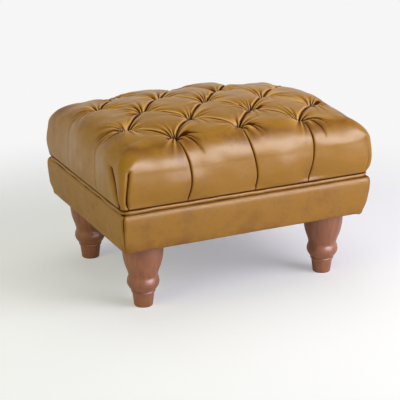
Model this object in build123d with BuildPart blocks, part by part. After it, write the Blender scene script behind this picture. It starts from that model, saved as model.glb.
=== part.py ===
from build123d import *
from math import pi, radians, sin, sqrt
import os

os.makedirs("parts", exist_ok=True)

# A deep-buttoned footstool. X runs along its length, Y along its depth, and Z points up.
# The origin is on the floor under the middle of the stool, and all sizes are in millimetres.

# Overall sizes
length = 600.0
depth = 460.0
leg_height = 151.5
rail_height = 83.0
pad_height = 161.0

# Leather, cloth, wire and gaps
leather = 1.3
cloth = 0.6
staple_wire = 0.7
loose_gap = 0.3
snug_gap = 0.05
overrun = 10.0

# Border: the leather bulges at its top edge and tapers towards the legs
border_taper = 7.0
border_bulge_rise = 70.0
border_shoulder_rise = 79.0
border_shoulder_tuck = 1.5
border_top_tuck = 8.0
border_lift = 3.0
border_underturn = 1.5
border_corner = 10.0
margin_reach = 18.0
cover_margin = 30.0

# Piping
piping_diameter = 9.6
piping_setback = 7.0
piping_corner = 22.0
cord_clearance = 0.1
flange_reach = 18.0

# Frame
rail_thickness = 22.0
rail_corner = 8.0
least_padding = 3.0
board_thickness = 12.0
block_reach = 92.0
block_shoulder = 38.0
block_height = 45.0
cleat_size = 20.0
stretcher_height = 50.0
dowel_diameter = 8.0
dowel_length = 40.0

# Fasteners
bolt_diameter = 8.0
bolt_in_leg = 35.0
bolt_above_block = 4.0
nut_flange_diameter = 22.0
nut_flange_thickness = 1.6
nut_barrel_diameter = 10.5
nut_barrel_length = 9.0
screw_diameter = 4.0
screw_head_diameter = 8.0
screw_head_height = 3.0
pad_screw_length = 36.0
pad_screw_spacing = 160.0
block_screw_length = 50.0
block_screw_setback = 80.0
staple_width = 10.0
staple_leg = 8.0
staple_spacing = 78.0

# Legs: height above the floor and radius at each turning
leg_inset_x = 75.0
leg_inset_y = 72.5
foot_edge = 1.5
foot_radius = 20.5
ring_height = 33.0
ring_low_radius = 24.6
ring_radius = 26.6
ring_thickness = 3.6
bulb_height = 57.5
bulb_radius = 35.5
neck_height = 71.5
neck_radius = 32.0
vase_height = 103.5
vase_radius = 41.3
leg_top_radius = 45.0

# Button layout: rows of three and four buttons in turn, from the ends and sides inward
end_margin = 72.0
side_margin = 62.0
button_diameter = 16.0
button_height = 6.0
button_rim = 1.5
twine_diameter = 2.0
toggle_diameter = 14.0
toggle_thickness = 2.5
knot_diameter = 4.0
wrap_hole_diameter = 30.0
foam_hole_diameter = 34.0

# Layers of the pad
wrap_thickness = 10.0

# Tufted form: the top crowns gently, and puffs rise between the folds that join the button seats
puff_rise = 26.0
fold_rise = 15.0
depth_crown = 12.0
length_crown = 12.0
seat_half = 9.0
fold_half = 1.5
join_half = 1.5
steepest_arc_share = 0.3
station_shares = (0.3, 0.5, 0.7)

# Pleats that run from the outer buttons down the faces
pleat_half = 3.0
pleat_depth = 8.0
pleat_swell = 2.5
pleat_dip = 8.0
pleat_rise_length = 30.0
pleat_foot_share = 0.5

# Outline of the pad: faces drawn in at the piping, bulging above it and rolling over a shoulder
face_drop = 72.0
brow_reach = 38.0
brow_sink = 2.0
shoulder_share = 0.7
face_bow = 5.0
face_tuck = 1.0
base_tuck = 8.0
bulge_rise = 42.0
roll_reach = 75.0
roll_drop = 65.0
roll_angles = (20, 40, 58, 74, 90)
pad_corner = 20.0

# Darts beside each corner: their height, and their distance from the corner at top and foot
end_dart_rise = 66.0
end_dart_top = 70.0
end_dart_foot = 38.0
front_dart_rise = 82.0
front_dart_top = 20.0
front_dart_foot = 14.0
dart_depth = 6.0
dart_half = 9.0

# The stack of flat layers from the underside up to the seat board
dust_cover_top = leg_height + cloth
rail_bottom = dust_cover_top + leather
rail_top = rail_bottom + rail_height
border_top = rail_top + leather
flange_bottom = border_top + snug_gap
flange_top = flange_bottom + 2*leather
pad_bottom = flange_top + staple_wire + snug_gap
board_bottom = pad_bottom + leather + snug_gap
board_top = board_bottom + board_thickness
full_top = pad_bottom + pad_height
seat_height = full_top - puff_rise
face_height = full_top - face_drop

# Places that several pieces share
rail_x = length/2 - border_taper - leather - least_padding
rail_y = depth/2 - border_taper - leather - least_padding
inner_x = rail_x - rail_thickness
inner_y = rail_y - rail_thickness
leg_x = length/2 - leg_inset_x
leg_y = depth/2 - leg_inset_y
end_button = length/2 - end_margin
button_pitch = end_button/1.5
row_pitch = (depth/2 - side_margin)/2
piping_radius = piping_diameter/2
piping_height = border_top + piping_radius
piping_x = length/2 - piping_setback - piping_radius
piping_y = depth/2 - piping_setback - piping_radius
overhang_height = piping_height + piping_radius + loose_gap
bulge_height = overhang_height + bulge_rise
plinth_x = piping_x - piping_radius - loose_gap
plinth_y = piping_y - piping_radius - loose_gap
plinth_corner = piping_corner - piping_radius - loose_gap
board_x = plinth_x - leather - snug_gap
board_y = plinth_y - leather - snug_gap
board_corner = plinth_corner - leather - snug_gap
roll_start = length/2 - roll_reach
corners = {"front_left": (-1, -1), "front_right": (1, -1), "back_left": (-1, 1), "back_right": (1, 1)}
sides = {"front": (0, -1), "back": (0, 1), "left": (-1, 0), "right": (1, 0)}


def crown_drop(x, y):
    """How far the whole top sinks away from its middle."""
    return length_crown*(x/end_button)**2 + depth_crown*(y/(2*row_pitch))**2


def fold_share(x):
    """0 at a column of the three-button rows, 1 at a column of the four-button rows."""
    if abs(x) >= end_button:
        return 1.0
    step = button_pitch/2
    where = abs(x) % button_pitch
    near = min(where, button_pitch - where)
    return min(1.0, max(0.0, (near - seat_half)/(step - 2*seat_half)))


def pleat_distance(x):
    """Distance along X to the nearest pleat on the front and back faces."""
    nearest = max(-1, min(1, round(x/button_pitch)))
    return abs(x - nearest*button_pitch)


def column_place(x):
    """x itself, or the middle of the button column whose seats reach x, so that seats are level."""
    step = button_pitch/2
    nearest = round(min(abs(x), end_button)/step)*step
    return nearest if abs(abs(x) - nearest) <= seat_half else min(abs(x), end_button)


def pad_section(x, inset, floor):
    """Right half of the pad's section at x, from the middle to the base, as ends and bend points.

    The form is drawn in by inset all round, and its flat underside lies at the height floor.
    """
    share = fold_share(x)
    to_seat = abs(2*share - 1)**3
    past_end = max(0.0, abs(x) - end_button - seat_half)
    from_pleat = pleat_distance(x)

    # Floors of the two folds on this side, widened to flat seats where the buttons are
    fold = fold_half + inset
    seat = seat_half + inset - (seat_half - pleat_half)*min(1.0, past_end/seat_half)
    outer_seat = seat if from_pleat <= seat_half else fold
    inner_line = row_pitch*share
    outer_line = row_pitch*(2 - share)
    inner_near = min(max(inner_line - fold, join_half), row_pitch - seat)
    inner_far = max(min(inner_line + fold, row_pitch - join_half), seat)
    outer_near = min(max(outer_line - outer_seat, row_pitch + join_half), 2*row_pitch - outer_seat)
    outer_far = max(outer_line + outer_seat, row_pitch + seat)

    def top_level(y):
        return seat_height - crown_drop(column_place(x), y)

    # Heights of the fold floors, which climb out of the seats and, past the last column, over the end
    rise = min(1.0, past_end/pleat_rise_length)
    depth_in_fold = fold_rise*to_seat*(1 - rise)
    inner_z = top_level(inner_line) + fold_rise - depth_in_fold
    outer_z = top_level(outer_line) + fold_rise - depth_in_fold

    # Outline: drawn in at the pleats and round the corners, top and base rolled off at the ends
    drawn = pleat_depth*max(0.0, 1 - from_pleat/(pleat_half + inset)) if inset < pleat_depth else 0.0
    beside = 1 - sin(pi*min(0.5, from_pleat/button_pitch))
    corner = min(1.0, max(0.0, abs(x) - length/2 + pad_corner)/(pad_corner - inset))
    side_in = inset + drawn + pleat_swell*beside + (pad_corner - inset)*(1 - sqrt(1 - corner**2))
    roll = min(1.0, max(0.0, abs(x) - roll_start)/(roll_reach - inset))
    base_share = min(1.0, max(0.0, abs(x) - length/2 + inset + base_tuck)/base_tuck)
    base_z = floor + (bulge_height - floor)*base_share**2
    top_z = full_top - inset - roll_drop*(1 - sqrt(1 - roll**2))
    squeeze = (top_z - base_z)/(full_top - overhang_height - inset)

    def level(z):
        return base_z + (z - inset - overhang_height)*squeeze

    brow_y = depth/2 - brow_reach
    brow_z = top_level(brow_y) + puff_rise - brow_sink - drawn - pleat_dip*beside
    base = (depth/2 - base_tuck - side_in + drawn*(1 - pleat_foot_share), base_z)
    face = (depth/2 - face_tuck - side_in, level(face_height))
    brow = (brow_y - side_in, level(brow_z))
    ends = [
        (inner_near, level(inner_z)),
        (inner_far, level(inner_z)),
        (outer_near, level(outer_z)),
        (min(outer_far, brow[0] - fold_half), level(outer_z)),
        brow,
        face,
        base,
    ]

    def puff(start, end, width):
        """Bend point over a puff: as high as a puff of that width rises, but not too steep."""
        y = (start[0] + end[0])/2
        chord = (start[1] + end[1])/2
        most = steepest_arc_share*(end[0] - start[0])
        narrow = (1 - min(1.0, width/(2*row_pitch)))**3
        raised = level(top_level(y) + puff_rise*(1 - narrow)) - chord
        return (y, chord + max(steepest_arc_share*most, min(most, raised)))

    shoulder = (
        brow[0] + (face[0] - brow[0])*shoulder_share,
        face[1] + (brow[1] - face[1])*shoulder_share,
    )
    bow = ((face[0] + base[0])/2 + face_bow, (face[1] + base[1])/2)
    bends = [
        None,
        puff(ends[1], ends[2], 2*(row_pitch - inner_line)),
        None,
        puff(ends[3], brow, 2*(brow[0] - outer_line)),
        shoulder,
        bow,
    ]
    crown = puff((-inner_near, ends[0][1]), ends[0], 2*inner_line)
    return ends, bends, crown


def pad_stations(inset):
    """Places along X of the pad's sections, close together where the form turns quickly."""
    step = button_pitch/2
    groove = min(seat_half - fold_half, pleat_half + inset)
    places = [0.0, groove, seat_half]
    for column in (step, 2*step, 3*step):
        places += [column - step + part*step for part in station_shares]
        places += [column - seat_half, column, column + seat_half]
    places += [2*step - groove, 2*step + groove]
    places += [roll_start + (roll_reach - inset)*sin(radians(angle)) for angle in roll_angles]
    places.sort()
    return [-x for x in reversed(places[1:])] + places


def end_pleat(inset, side, row):
    """Groove of a pleat that runs down one end face from the last button of a row."""
    end_x = length/2 - inset
    top = full_top - length_crown - inset

    def outline(deep):
        shoulder = []
        for angle in roll_angles[1:]:
            turn = sin(radians(angle))
            x = roll_start + (roll_reach - inset - deep)*turn
            shoulder.append((x, top - roll_drop*(1 - sqrt(1 - turn**2)) - deep))
        return [
            (shoulder[0][0], top + overrun),
            *shoulder,
            (end_x - deep, bulge_height),
            (end_x - base_tuck - deep, overhang_height - overrun),
            (end_x + overrun, overhang_height - overrun),
            (end_x + overrun, top + overrun),
        ]

    groove = pleat_half + inset
    with BuildPart() as blade:
        for offset, deep in ((-groove, -snug_gap), (0, pleat_depth), (groove, -snug_gap)):
            place = (0, row*row_pitch + offset, 0)
            with BuildSketch(Plane(origin=place, x_dir=(side, 0, 0), z_dir=(0, -side, 0))):
                with BuildLine():
                    Polyline(outline(deep), close=True)
                make_face()
        loft(ruled=True)
    return blade.part


def corner_dart(inset, on_end, side_x, side_y):
    """V-shaped dart beside a corner, widening from nothing at its top towards the piping."""
    out = length/2 if on_end else depth/2
    along = depth/2 if on_end else length/2
    rise = end_dart_rise if on_end else front_dart_rise
    top = end_dart_top if on_end else front_dart_top
    foot = end_dart_foot if on_end else front_dart_foot
    levels = (
        (overhang_height + rise, top, 0),
        (overhang_height - overrun, foot, base_tuck + dart_depth),
    )
    with BuildPart() as wedge:
        for z, from_corner, deep in levels:
            place = along - from_corner
            points = [
                (out - inset - deep, place),
                (out + overrun, place - dart_half),
                (out + overrun, place + dart_half),
            ]
            if not on_end:
                points = [(a, b) for b, a in points]
            with BuildSketch(Plane.XY.offset(z)):
                with BuildLine():
                    Polyline([(a*side_x, b*side_y) for a, b in points], close=True)
                make_face()
        loft(ruled=True)
    return wedge.part


def pad_form(inset, floor):
    """Solid of the tufted pad above the piping, drawn in by inset on every side."""
    with BuildPart() as form:
        for x in pad_stations(inset):
            ends, bends, crown = pad_section(x, inset, floor)
            ring = ends + [(-y, z) for y, z in reversed(ends)]
            mirrored = [None if bend is None else (-bend[0], bend[1]) for bend in reversed(bends)]
            turns = bends + [None] + mirrored + [crown]
            with BuildSketch(Plane(origin=(x, 0, 0), x_dir=(0, 1, 0), z_dir=(1, 0, 0))):
                with BuildLine():
                    for start, bend, end in zip(ring, turns, ring[1:] + ring[:1]):
                        if bend is None:
                            Line(start, end)
                        else:
                            ThreePointArc(start, bend, end)
                make_face()
        loft(ruled=True)
        if inset < pleat_depth:
            for side in (-1, 1):
                for row in (-1, 1):
                    add(end_pleat(inset, side, row), mode=Mode.SUBTRACT)
                    add(corner_dart(inset, True, side, row), mode=Mode.SUBTRACT)
                    add(corner_dart(inset, False, side, row), mode=Mode.SUBTRACT)
    return form.part


def slab(half_x, half_y, corner, bottom, top, mode=Mode.ADD):
    """Flat layer with rounded corners, between two heights, in the part being built."""
    with BuildSketch(Plane.XY.offset(bottom)) as outline:
        RectangleRounded(2*half_x, 2*half_y, corner)
    extrude(outline.sketch, amount=top - bottom, mode=mode)


def block(size_x, size_y, bottom, top, middle=(0, 0), mode=Mode.ADD):
    """Square-cut block between two heights, in the part being built."""
    with Locations((*middle, bottom)):
        Box(size_x, size_y, top - bottom, align=(Align.CENTER, Align.CENTER, Align.MIN), mode=mode)


def side_bar(side_x, side_y, outer_x, outer_y, width, bottom, top):
    """One of four bars round a frame: the front and back run full length, the others between them."""
    if side_x:
        block(width, 2*(outer_y - width), bottom, top, (side_x*(outer_x - width/2), 0))
    else:
        block(2*outer_x, width, bottom, top, (0, side_y*(outer_y - width/2)))


def pins(places, bottom, top, diameter, mode=Mode.ADD):
    """Upright round pins or holes at some places between two heights, in the part being built."""
    with Locations(*[(x, y, bottom) for x, y in places]):
        Cylinder(diameter/2, top - bottom, align=(Align.CENTER, Align.CENTER, Align.MIN), mode=mode)


legs_at = [(side_x*leg_x, side_y*leg_y) for side_x, side_y in corners.values()]

# Button places, each with the height of its seat on the leather
buttons_at = []
for row in (-2, -1, 0, 1, 2):
    columns = (-1, 0, 1) if row % 2 == 0 else (-1.5, -0.5, 0.5, 1.5)
    for column in columns:
        seat_ends = pad_section(column*button_pitch, 0, overhang_height)[0]
        seat_z = seat_ends[2][1] if abs(row) == 2 else seat_ends[0][1]
        buttons_at.append((column*button_pitch, row*row_pitch, seat_z))

# Screw places under the seat board, along the long cleats and in the middle of the short ones
cleat_x = inner_x - cleat_size/2
cleat_y = inner_y - cleat_size/2
pad_screws_at = [(step*pad_screw_spacing, side*cleat_y) for side in (-1, 1) for step in (-1, 0, 1)]
pad_screws_at += [(side*cleat_x, 0) for side in (-1, 1)]


def ring_of_staples(half_x, half_y, last_x, last_y):
    """Staple places round a rectangle as x, y and turn, none past the last place on each side."""
    places = []
    for side in (-1, 1):
        count = int(last_x/staple_spacing + 0.5)
        places += [((step + 0.5)*staple_spacing, side*half_y, 0) for step in range(-count, count)]
        count = int(last_y/staple_spacing + 0.5)
        places += [(side*half_x, (step + 0.5)*staple_spacing, 90) for step in range(-count, count)]
    return places


def staple_legs(places, bottom, top, gap, mode=Mode.ADD):
    """The two legs of each staple, or the slots that they make, in the part being built."""
    with Locations(*[Location((x, y, bottom), (0, 0, turn)) for x, y, turn in places]):
        with GridLocations(staple_width - staple_wire, staple_wire, 2, 1):
            Box(
                staple_wire + 2*gap,
                staple_wire + 2*gap,
                top - bottom,
                align=(Align.CENTER, Align.CENTER, Align.MIN),
                mode=mode,
            )


def staple_crowns(places, bottom):
    """The crown of each staple, in the part being built."""
    with Locations(*[Location((x, y, bottom), (0, 0, turn)) for x, y, turn in places]):
        Box(staple_width, staple_wire, staple_wire, align=(Align.CENTER, Align.CENTER, Align.MIN))


rail_middle_x = rail_x - rail_thickness/2
rail_middle_y = rail_y - rail_thickness/2
rail_staples_at = ring_of_staples(rail_middle_x, rail_middle_y, inner_x - block_shoulder, inner_y - block_shoulder)
pad_staples_at = ring_of_staples(cleat_x, cleat_y, inner_x - block_shoulder, inner_y - block_shoulder)
dust_staples_at = ring_of_staples(
    rail_middle_x, rail_middle_y, leg_x - leg_top_radius - staple_width, leg_y - leg_top_radius - staple_width
)
twines_at = [(x, y) for x, y, z in buttons_at]
twine_hole_diameter = twine_diameter + 2*loose_gap


def twine_holes(diameter):
    """Holes for the button twines from top to bottom of the part being built."""
    pins(twines_at, board_bottom - overrun, full_top + overrun, diameter, mode=Mode.SUBTRACT)


def pad_screw_holes(bottom, top):
    """Holes for the pad screws between two heights of the part being built."""
    pins(pad_screws_at, bottom, top, screw_diameter + 2*snug_gap, mode=Mode.SUBTRACT)


# Seat cover: tufted leather, wrapped round the foot of the pad and under the edge of the board
plinth_top = overhang_height + leather
with BuildPart() as cover_hollow:
    add(pad_form(leather, overhang_height + leather))
    slab(board_x + snug_gap, board_y + snug_gap, board_corner + snug_gap, pad_bottom + leather, plinth_top + leather)
with BuildPart() as seat_cover:
    add(pad_form(0, overhang_height))
    slab(plinth_x, plinth_y, plinth_corner, pad_bottom, plinth_top)
    add(cover_hollow.part, mode=Mode.SUBTRACT)
    slab(board_x - cover_margin, board_y - cover_margin, board_corner, pad_bottom - overrun,
         pad_bottom + leather + snug_gap, mode=Mode.SUBTRACT)
    twine_holes(twine_hole_diameter)
    pad_screw_holes(pad_bottom - overrun, board_bottom)
    staple_legs(pad_staples_at, pad_bottom - overrun, board_bottom, snug_gap, mode=Mode.SUBTRACT)
seat_cover.part.label = "seat_cover"
export_step(seat_cover.part, "parts/seat_cover.step")

# Fibre wrap: soft layer between the leather and the foam, open underneath and parted at each button
wrap_inset = leather + loose_gap
foam_inset = wrap_inset + wrap_thickness + loose_gap
with BuildPart() as fibre_wrap:
    add(pad_form(wrap_inset, overhang_height + wrap_inset))
    add(pad_form(wrap_inset + wrap_thickness, overhang_height), mode=Mode.SUBTRACT)
    slab(board_x + loose_gap, board_y + loose_gap, board_corner, board_bottom, board_top + loose_gap,
         mode=Mode.SUBTRACT)
    twine_holes(wrap_hole_diameter)
fibre_wrap.part.label = "fibre_wrap"
export_step(fibre_wrap.part, "parts/fibre_wrap.step")

# Foam block, with a cut hole under each button
with BuildPart() as foam_block:
    add(pad_form(foam_inset, overhang_height))
    slab(length/2, depth/2, board_corner, overhang_height - overrun, board_top + snug_gap, mode=Mode.SUBTRACT)
    twine_holes(foam_hole_diameter)
foam_block.part.label = "foam_block"
export_step(foam_block.part, "parts/foam_block.step")

# Seat board, with twine holes, staple slots and pilot holes for the pad screws
pad_screw_top = rail_top - cleat_size + pad_screw_length
with BuildPart() as seat_board:
    slab(board_x, board_y, board_corner, board_bottom, board_top)
    twine_holes(twine_hole_diameter)
    staple_legs(pad_staples_at, pad_bottom - overrun, board_bottom + staple_leg, snug_gap, mode=Mode.SUBTRACT)
    pad_screw_holes(board_bottom - overrun, pad_screw_top + snug_gap)
seat_board.part.label = "seat_board"
export_step(seat_board.part, "parts/seat_board.step")

# Covered buttons, each a flat-backed dome on its seat
with BuildPart() as dome:
    with BuildSketch(Plane.XZ):
        with BuildLine():
            Polyline((0, button_height), (0, 0), (button_diameter/2, 0), (button_diameter/2, button_rim))
            TangentArc((0, button_height), (button_diameter/2, button_rim), tangent=(1, 0))
        make_face()
    revolve(axis=Axis.Z)
with BuildPart() as buttons:
    for x, y, seat_z in buttons_at:
        with Locations((x, y, seat_z + loose_gap)):
            add(dome.part)
buttons.part.label = "buttons"
export_step(buttons.part, "parts/buttons.step")

# Button twines, drawn down through the pad and the board to a knot under each toggle
toggle_bottom = board_bottom - snug_gap - toggle_thickness
knot_height = toggle_bottom - knot_diameter/2
with BuildPart() as button_twines:
    for x, y, seat_z in buttons_at:
        pins([(x, y)], knot_height, seat_z + loose_gap, twine_diameter)
    with Locations(*[(x, y, knot_height) for x, y in twines_at]):
        Sphere(knot_diameter/2)
button_twines.part.label = "button_twines"
export_step(button_twines.part, "parts/button_twines.step")

# Twine toggles: discs under the board that hold the twines
with BuildPart() as twine_toggles:
    pins(twines_at, toggle_bottom, board_bottom - snug_gap, toggle_diameter)
    pins(twines_at, toggle_bottom - overrun, board_bottom, twine_diameter + 2*snug_gap, Mode.SUBTRACT)
twine_toggles.part.label = "twine_toggles"
export_step(twine_toggles.part, "parts/twine_toggles.step")

# Staples that hold the seat cover under the board
with BuildPart() as pad_staples:
    staple_crowns(pad_staples_at, pad_bottom - staple_wire)
    staple_legs(pad_staples_at, pad_bottom - staple_wire, pad_bottom - staple_wire + staple_leg, 0)
pad_staples.part.label = "pad_staples"
export_step(pad_staples.part, "parts/pad_staples.step")

# Piping: a cord inside a leather tube, whose flange is stapled to the rail tops
cord_radius = piping_radius - leather - cord_clearance
with BuildSketch(Plane.XY.offset(piping_height)) as piping_loop:
    RectangleRounded(2*piping_x, 2*piping_y, piping_corner)
piping_path = piping_loop.sketch.wire()
piping_start = Plane(origin=piping_path @ 0, z_dir=piping_path % 0)
with BuildPart() as piping_cord:
    with BuildSketch(piping_start):
        Circle(cord_radius)
    sweep(path=piping_path)
piping_cord.part.label = "piping_cord"
export_step(piping_cord.part, "parts/piping_cord.step")

with BuildPart() as piping_cover:
    slab(piping_x, piping_y, piping_corner, flange_bottom, flange_top)
    slab(piping_x - flange_reach, piping_y - flange_reach, piping_corner - flange_reach,
         flange_bottom - overrun, flange_top + overrun, mode=Mode.SUBTRACT)
    with BuildSketch(piping_start):
        Circle(piping_radius)
    sweep(path=piping_path)
    with BuildSketch(piping_start):
        Circle(cord_radius + cord_clearance)
    sweep(path=piping_path, mode=Mode.SUBTRACT)
    staple_legs(rail_staples_at, flange_bottom - overrun, flange_top + overrun, snug_gap, mode=Mode.SUBTRACT)
piping_cover.part.label = "piping_cover"
export_step(piping_cover.part, "parts/piping_cover.step")

# Staples through the piping flange and the border leather into the rail tops
with BuildPart() as rail_staples:
    staple_crowns(rail_staples_at, flange_top)
    staple_legs(rail_staples_at, flange_top + staple_wire - staple_leg, flange_top + staple_wire, 0)
rail_staples.part.label = "rail_staples"
export_step(rail_staples.part, "parts/rail_staples.step")


def border_form(inset, bottom, top):
    """Solid of the border, drawn in by inset on every side, between two heights."""
    levels = (
        (bottom, border_taper + border_underturn),
        (bottom + border_lift, border_taper),
        (dust_cover_top + border_bulge_rise, 0),
        (dust_cover_top + border_shoulder_rise, border_shoulder_tuck),
        (top, border_top_tuck),
    )
    with BuildPart() as form:
        for z, tuck in levels:
            with BuildSketch(Plane.XY.offset(z)):
                RectangleRounded(length - 2*(tuck + inset), depth - 2*(tuck + inset), border_corner - inset)
        loft(ruled=True)
    return form.part


# Border leather: one skin round the frame, turned over its top and under its foot, in four panels
margin_x = rail_x - margin_reach
margin_y = rail_y - margin_reach
with BuildPart() as border_skin:
    add(border_form(0, dust_cover_top, border_top))
    add(border_form(leather, rail_bottom, rail_top), mode=Mode.SUBTRACT)
    block(2*margin_x, 2*margin_y, dust_cover_top - overrun, border_top + overrun, mode=Mode.SUBTRACT)
    staple_legs(rail_staples_at, rail_top - overrun, border_top + overrun, snug_gap, mode=Mode.SUBTRACT)
    staple_legs(dust_staples_at, dust_cover_top - overrun, rail_bottom + overrun, snug_gap, mode=Mode.SUBTRACT)

far_x = length/2 + overrun
far_y = depth/2 + overrun
mitre_run = 2*rail_thickness + 2*overrun
for side, (side_x, side_y) in sides.items():
    if side_x:
        mitres = [(side_x*far_x, far_y), (side_x*(far_x - mitre_run), far_y - mitre_run)]
        mitres += [(x, -y) for x, y in reversed(mitres)]
    else:
        mitres = [(far_x, side_y*far_y), (far_x - mitre_run, side_y*(far_y - mitre_run))]
        mitres += [(-x, y) for x, y in reversed(mitres)]
    with BuildPart() as border_panel:
        add(border_skin.part)
        with BuildSketch(Plane.XY.offset(leg_height)):
            with BuildLine():
                Polyline(mitres, close=True)
            make_face()
        extrude(amount=pad_bottom - leg_height, mode=Mode.INTERSECT)
    border_panel.part.label = f"border_{side}"
    export_step(border_panel.part, f"parts/border_{side}.step")

# Border padding: a band of wadding between the rails and the leather
with BuildPart() as border_padding:
    add(border_form(leather + loose_gap, rail_bottom + loose_gap, rail_top - loose_gap))
    slab(rail_x + loose_gap, rail_y + loose_gap, rail_corner + loose_gap, leg_height, pad_bottom, mode=Mode.SUBTRACT)
border_padding.part.label = "border_padding"
export_step(border_padding.part, "parts/border_padding.step")

# Frame rails: the front and back run full length, the left and right fit between them on dowels
dowel_heights = [rail_bottom + rail_height*step/3 for step in (1, 2)]


def dowel(x, y, z, gap, mode=Mode.ADD):
    """Dowel along Y, or its hole, centred on the joint between two rails."""
    with Locations(Location((x, y, z), (90, 0, 0))):
        Cylinder(dowel_diameter/2 + gap, dowel_length + 2*gap, mode=mode)


def cut_dowel_holes():
    """Holes for all the rail dowels in the part being built."""
    for side_x, side_y in corners.values():
        for z in dowel_heights:
            dowel(side_x*rail_middle_x, side_y*inner_y, z, snug_gap, mode=Mode.SUBTRACT)


block_screw_height = dust_cover_top + block_height/2
block_screws_at = []
for side_x, side_y in corners.values():
    seat_x = side_x*(inner_x - block_shoulder)
    seat_y = side_y*(inner_y - block_shoulder)
    end_x = side_x*(inner_x - block_screw_setback)
    end_y = side_y*(inner_y - block_screw_setback)
    block_screws_at.append(Plane(origin=(end_x, seat_y, block_screw_height), x_dir=(1, 0, 0), z_dir=(0, side_y, 0)))
    block_screws_at.append(Plane(origin=(seat_x, end_y, block_screw_height), x_dir=(0, 1, 0), z_dir=(side_x, 0, 0)))


def cut_block_screws():
    """Counterbored holes for all the corner block screws in the part being built."""
    for seat in block_screws_at:
        with BuildSketch(seat) as shank:
            Circle(screw_diameter/2 + snug_gap)
        extrude(shank.sketch, amount=block_screw_length + snug_gap, mode=Mode.SUBTRACT)
        with BuildSketch(seat) as head:
            Circle(screw_head_diameter/2 + snug_gap)
        extrude(head.sketch, amount=block_shoulder - block_reach, mode=Mode.SUBTRACT)


for side, (side_x, side_y) in sides.items():
    with BuildPart() as rail:
        side_bar(side_x, side_y, rail_x, rail_y, rail_thickness, rail_bottom, rail_top)
        if side_y:
            upright = rail.edges().filter_by(Axis.Z).sort_by(Axis.Y)
            fillet(upright[:2] if side_y < 0 else upright[-2:], rail_corner)
        cut_dowel_holes()
        cut_block_screws()
        staple_legs(rail_staples_at, flange_top + staple_wire - staple_leg - snug_gap, pad_bottom, snug_gap,
                    mode=Mode.SUBTRACT)
        staple_legs(dust_staples_at, leg_height - overrun, leg_height - staple_wire + staple_leg + snug_gap,
                    snug_gap, mode=Mode.SUBTRACT)
    rail.part.label = f"rail_{side}"
    export_step(rail.part, f"parts/rail_{side}.step")

with BuildPart() as rail_dowels:
    for side_x, side_y in corners.values():
        for z in dowel_heights:
            dowel(side_x*rail_middle_x, side_y*inner_y, z, 0)
rail_dowels.part.label = "rail_dowels"
export_step(rail_dowels.part, "parts/rail_dowels.step")

# Stretcher across the middle of the frame, low enough to clear the toggles
with BuildPart() as stretcher:
    block(rail_thickness, 2*inner_y, rail_bottom, rail_bottom + stretcher_height)
stretcher.part.label = "stretcher"
export_step(stretcher.part, "parts/stretcher.step")

# Corner blocks that carry the legs, glued and screwed into the frame corners
block_top = dust_cover_top + block_height
bolt_hole_diameter = bolt_diameter + 2*loose_gap
for place, (side_x, side_y) in corners.items():
    with BuildPart() as corner_block:
        with BuildSketch(Plane.XY.offset(dust_cover_top)):
            with BuildLine():
                outline = (
                    (inner_x, inner_y),
                    (inner_x - block_reach, inner_y),
                    (inner_x - block_reach, inner_y - block_shoulder),
                    (inner_x - block_shoulder, inner_y - block_reach),
                    (inner_x, inner_y - block_reach),
                )
                Polyline([(side_x*x, side_y*y) for x, y in outline], close=True)
            make_face()
        extrude(amount=block_height)
        pins(legs_at, leg_height, block_top + overrun, bolt_hole_diameter, Mode.SUBTRACT)
        pins(legs_at, block_top - nut_barrel_length - snug_gap, block_top + overrun,
             nut_barrel_diameter + 2*snug_gap, Mode.SUBTRACT)
        cut_block_screws()
    corner_block.part.label = f"corner_block_{place}"
    export_step(corner_block.part, f"parts/corner_block_{place}.step")

with BuildPart() as block_screws:
    for seat in block_screws_at:
        with BuildSketch(seat):
            Circle(screw_diameter/2)
        extrude(amount=block_screw_length)
        with BuildSketch(seat):
            Circle(screw_head_diameter/2)
        extrude(amount=-screw_head_height)
block_screws.part.label = "block_screws"
export_step(block_screws.part, "parts/block_screws.step")

# Cleats along the rail tops, and the screws that go up through them into the seat board
cleat_bottom = rail_top - cleat_size
for side, (side_x, side_y) in sides.items():
    with BuildPart() as cleat:
        side_bar(side_x, side_y, inner_x, inner_y, cleat_size, cleat_bottom, rail_top)
        pad_screw_holes(cleat_bottom - overrun, rail_top + overrun)
    cleat.part.label = f"cleat_{side}"
    export_step(cleat.part, f"parts/cleat_{side}.step")

with BuildPart() as pad_screws:
    pins(pad_screws_at, cleat_bottom - screw_head_height, pad_screw_top, screw_diameter)
    pins(pad_screws_at, cleat_bottom - screw_head_height, cleat_bottom, screw_head_diameter)
pad_screws.part.label = "pad_screws"
export_step(pad_screws.part, "parts/pad_screws.step")

# Dust cover stapled over the underside, with a hole for each leg bolt
with BuildPart() as dust_cover:
    slab(rail_middle_x + staple_width/2, rail_middle_y + staple_width/2, border_corner, leg_height, dust_cover_top)
    pins(legs_at, leg_height - overrun, dust_cover_top + overrun, bolt_hole_diameter, Mode.SUBTRACT)
    staple_legs(dust_staples_at, leg_height - overrun, dust_cover_top + overrun, snug_gap, mode=Mode.SUBTRACT)
dust_cover.part.label = "dust_cover"
export_step(dust_cover.part, "parts/dust_cover.step")

with BuildPart() as dust_staples:
    staple_crowns(dust_staples_at, leg_height - staple_wire)
    staple_legs(dust_staples_at, leg_height - staple_wire, leg_height - staple_wire + staple_leg, 0)
dust_staples.part.label = "dust_staples"
export_step(dust_staples.part, "parts/dust_staples.step")

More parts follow.
